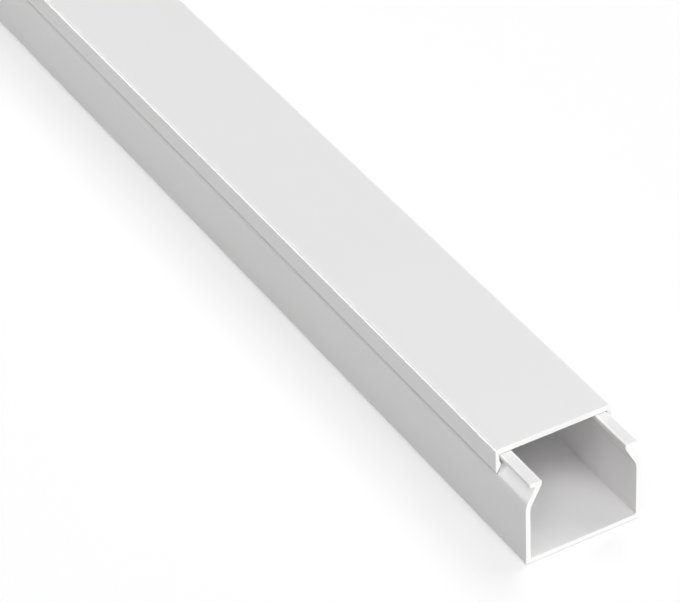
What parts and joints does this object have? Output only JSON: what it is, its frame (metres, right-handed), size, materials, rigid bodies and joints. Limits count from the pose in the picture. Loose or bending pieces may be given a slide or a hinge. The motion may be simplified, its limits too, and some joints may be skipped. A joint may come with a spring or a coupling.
{
  "type": "cord cover raceway",
  "caption": "Straight rectangular plastic raceway for hiding cords: an open channel with inclined lipped walls and a flat cover whose barbed legs snap over the lips.",
  "frame": {"origin": "middle of the channel's underside, the face that goes against the wall", "axes": "+X along the length towards the near end, where the cover is slid back; +Y across the width; +Z out of the wall, towards the cover"},
  "size_m": [0.41, 0.025, 0.02],
  "materials": {
    "channel_pvc": "satin",
    "cover_pvc": "satin"
  },
  "bodies": {
    "channel": {"base_channel": "channel_pvc"},
    "cover": {"snap_cover": "cover_pvc"}
  },
  "joints": [
    {"name": "cover_slide", "type": "slide", "parent": "channel", "child": "cover", "axis": [1, 0, 0], "range_m": [-0.39, 0.41]}
  ]
}
